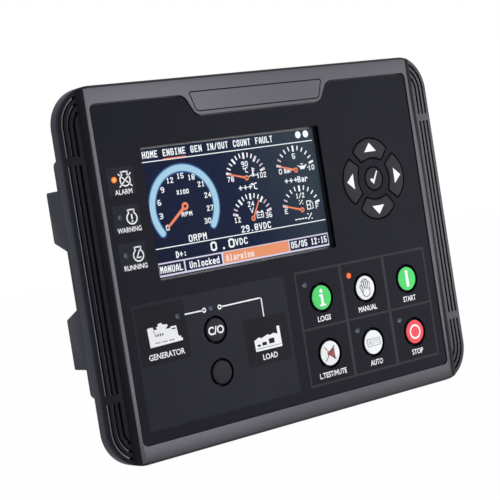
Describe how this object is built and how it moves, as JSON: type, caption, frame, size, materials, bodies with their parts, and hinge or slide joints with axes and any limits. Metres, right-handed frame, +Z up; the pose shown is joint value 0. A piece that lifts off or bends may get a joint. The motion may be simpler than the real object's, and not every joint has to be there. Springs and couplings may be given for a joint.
{
  "type": "genset controller",
  "caption": "Panel-mounted generating-set controller with a lit display, sprung rubber keys, a ridged frame and a rear housing with plug-in terminals.",
  "frame": {"origin": "centre of the panel cut-out, in the plane where the gasket meets the panel", "axes": "+Z up, face towards -Y, +X to the right of someone who faces it"},
  "size_m": [0.2074, 0.0454, 0.158],
  "materials": {
    "frame_black": "satin moulded black",
    "sheet_print": "printed polyester, fine satin",
    "window_clear": "clear hard-coated window",
    "display_glass": "lit colour display",
    "key_black": "satin silicone",
    "key_green": "satin silicone, printed",
    "key_white": "satin silicone, printed",
    "key_red": "satin silicone, printed",
    "lens_clear": "smoked light pipe",
    "lens_lit": "lit light pipe",
    "board_green": "solder mask over glass fibre",
    "spacer_brass": "turned",
    "link_black": "moulded",
    "relay_blue": "moulded",
    "sounder_black": "moulded",
    "cell_steel": "satin",
    "housing_grey": "fine textured dark grey",
    "gasket_rubber": "closed cell",
    "screw_steel": "zinc plated",
    "header_green": "moulded",
    "plug_green": "moulded",
    "socket_steel": "tinned"
  },
  "bodies": {
    "controller": {"front_frame": "frame_black", "face_sheet": "sheet_print", "display_window": "window_clear", "display_module": "display_glass", "key_board": "board_green", "main_board": "board_green", "board_link": "link_black", "sounder": "sounder_black", "clock_cell": "cell_steel", "rear_housing": "housing_grey", "panel_gasket": "gasket_rubber", "service_socket": "socket_steel", "lens_alarm": "lens_lit", "lens_warning": "lens_clear", "lens_running": "lens_clear", "lens_generator": "lens_clear", "lens_breaker": "lens_clear", "lens_logs": "lens_clear", "lens_manual": "lens_lit", "lens_auto": "lens_clear", "lens_stop": "lens_clear", "board_spacer_1": "spacer_brass", "board_spacer_2": "spacer_brass", "board_spacer_3": "spacer_brass", "board_spacer_4": "spacer_brass", "relay_1": "relay_blue", "relay_2": "relay_blue", "relay_3": "relay_blue", "housing_screw_1": "screw_steel", "housing_screw_2": "screw_steel", "housing_screw_3": "screw_steel", "housing_screw_4": "screw_steel", "housing_screw_5": "screw_steel", "housing_screw_6": "screw_steel", "header_top_left": "header_green", "terminal_top_left": "plug_green", "header_top_right": "header_green", "terminal_top_right": "plug_green", "header_bottom_left": "header_green", "terminal_bottom_left": "plug_green", "header_bottom_right": "header_green", "terminal_bottom_right": "plug_green"},
    "key_logs": {"key_logs": "key_green"},
    "key_manual": {"key_manual": "key_white"},
    "key_start": {"key_start": "key_green"},
    "key_lamp_test": {"key_lamp_test": "key_white"},
    "key_auto": {"key_auto": "key_white"},
    "key_stop": {"key_stop": "key_red"},
    "key_breaker": {"key_breaker": "key_black"},
    "key_reserve": {"key_reserve": "key_black"},
    "key_confirm": {"key_confirm": "key_black"},
    "key_up": {"key_up": "key_black"},
    "key_down": {"key_down": "key_black"},
    "key_left": {"key_left": "key_black"},
    "key_right": {"key_right": "key_black"}
  },
  "joints": [
    {"name": "press_logs", "type": "slide", "parent": "controller", "child": "key_logs", "axis": [0, 1, 0], "range_m": [0, 0.001], "stiffness_N_per_m": 300},
    {"name": "press_manual", "type": "slide", "parent": "controller", "child": "key_manual", "axis": [0, 1, 0], "range_m": [0, 0.001], "stiffness_N_per_m": 300},
    {"name": "press_start", "type": "slide", "parent": "controller", "child": "key_start", "axis": [0, 1, 0], "range_m": [0, 0.001], "stiffness_N_per_m": 300},
    {"name": "press_lamp_test", "type": "slide", "parent": "controller", "child": "key_lamp_test", "axis": [0, 1, 0], "range_m": [0, 0.001], "stiffness_N_per_m": 300},
    {"name": "press_auto", "type": "slide", "parent": "controller", "child": "key_auto", "axis": [0, 1, 0], "range_m": [0, 0.001], "stiffness_N_per_m": 300},
    {"name": "press_stop", "type": "slide", "parent": "controller", "child": "key_stop", "axis": [0, 1, 0], "range_m": [0, 0.001], "stiffness_N_per_m": 300},
    {"name": "press_breaker", "type": "slide", "parent": "controller", "child": "key_breaker", "axis": [0, 1, 0], "range_m": [0, 0.001], "stiffness_N_per_m": 300},
    {"name": "press_reserve", "type": "slide", "parent": "controller", "child": "key_reserve", "axis": [0, 1, 0], "range_m": [0, 0.001], "stiffness_N_per_m": 300},
    {"name": "press_confirm", "type": "slide", "parent": "controller", "child": "key_confirm", "axis": [0, 1, 0], "range_m": [0, 0.001], "stiffness_N_per_m": 300},
    {"name": "press_up", "type": "slide", "parent": "controller", "child": "key_up", "axis": [0, 1, 0], "range_m": [0, 0.001], "stiffness_N_per_m": 300},
    {"name": "press_down", "type": "slide", "parent": "controller", "child": "key_down", "axis": [0, 1, 0], "range_m": [0, 0.001], "stiffness_N_per_m": 300},
    {"name": "press_left", "type": "slide", "parent": "controller", "child": "key_left", "axis": [0, 1, 0], "range_m": [0, 0.001], "stiffness_N_per_m": 300},
    {"name": "press_right", "type": "slide", "parent": "controller", "child": "key_right", "axis": [0, 1, 0], "range_m": [0, 0.001], "stiffness_N_per_m": 300}
  ]
}
